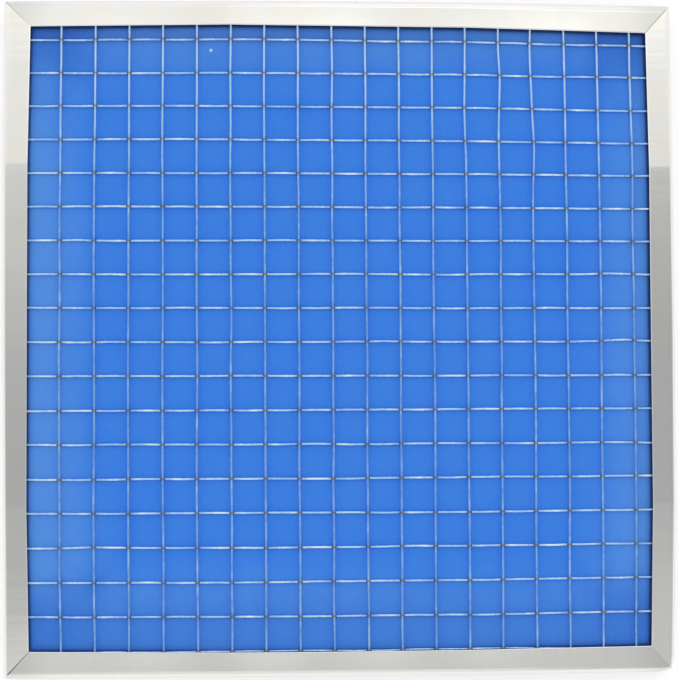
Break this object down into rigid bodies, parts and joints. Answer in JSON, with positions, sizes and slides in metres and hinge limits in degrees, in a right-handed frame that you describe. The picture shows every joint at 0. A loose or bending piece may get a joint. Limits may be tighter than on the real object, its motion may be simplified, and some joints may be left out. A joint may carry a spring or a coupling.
{
  "type": "reusable furnace filter",
  "caption": "Square washable air filter: a mitred metal channel frame grips a fibre pad between welded wire grids.",
  "frame": {"origin": "middle of the rear face, in the plane of the rear flanges that the filter lies on", "axes": "+Z from the rear flanges to the front flanges, +Y up the face as pictured, +X to the right across the face"},
  "size_m": [0.5016, 0.5016, 0.0222],
  "materials": {
    "frame_metal": "satin mill finish",
    "corner_metal": "dull mill finish",
    "grid_wire": "bright galvanised",
    "filter_media": "smooth felted non-woven fibre"
  },
  "bodies": {
    "root": {"frame_rail_bottom": "frame_metal", "frame_rail_right": "frame_metal", "frame_rail_top": "frame_metal", "frame_rail_left": "frame_metal", "corner_angle_bottom_left": "corner_metal", "corner_angle_bottom_right": "corner_metal", "corner_angle_top_right": "corner_metal", "corner_angle_top_left": "corner_metal", "media_pad": "filter_media", "front_line_wire_01": "grid_wire", "front_line_wire_02": "grid_wire", "front_line_wire_03": "grid_wire", "front_line_wire_04": "grid_wire", "front_line_wire_05": "grid_wire", "front_line_wire_06": "grid_wire", "front_line_wire_07": "grid_wire", "front_line_wire_08": "grid_wire", "front_line_wire_09": "grid_wire", "front_line_wire_10": "grid_wire", "front_line_wire_11": "grid_wire", "front_line_wire_12": "grid_wire", "front_line_wire_13": "grid_wire", "front_line_wire_14": "grid_wire", "front_line_wire_15": "grid_wire", "front_line_wire_16": "grid_wire", "front_line_wire_17": "grid_wire", "front_line_wire_18": "grid_wire", "front_line_wire_19": "grid_wire", "front_cross_wire_01": "grid_wire", "front_cross_wire_02": "grid_wire", "front_cross_wire_03": "grid_wire", "front_cross_wire_04": "grid_wire", "front_cross_wire_05": "grid_wire", "front_cross_wire_06": "grid_wire", "front_cross_wire_07": "grid_wire", "front_cross_wire_08": "grid_wire", "front_cross_wire_09": "grid_wire", "front_cross_wire_10": "grid_wire", "front_cross_wire_11": "grid_wire", "front_cross_wire_12": "grid_wire", "front_cross_wire_13": "grid_wire", "front_cross_wire_14": "grid_wire", "front_cross_wire_15": "grid_wire", "front_cross_wire_16": "grid_wire", "front_cross_wire_17": "grid_wire", "front_cross_wire_18": "grid_wire", "front_cross_wire_19": "grid_wire", "rear_line_wires": "grid_wire", "rear_cross_wires": "grid_wire"}
  },
  "joints": []
}
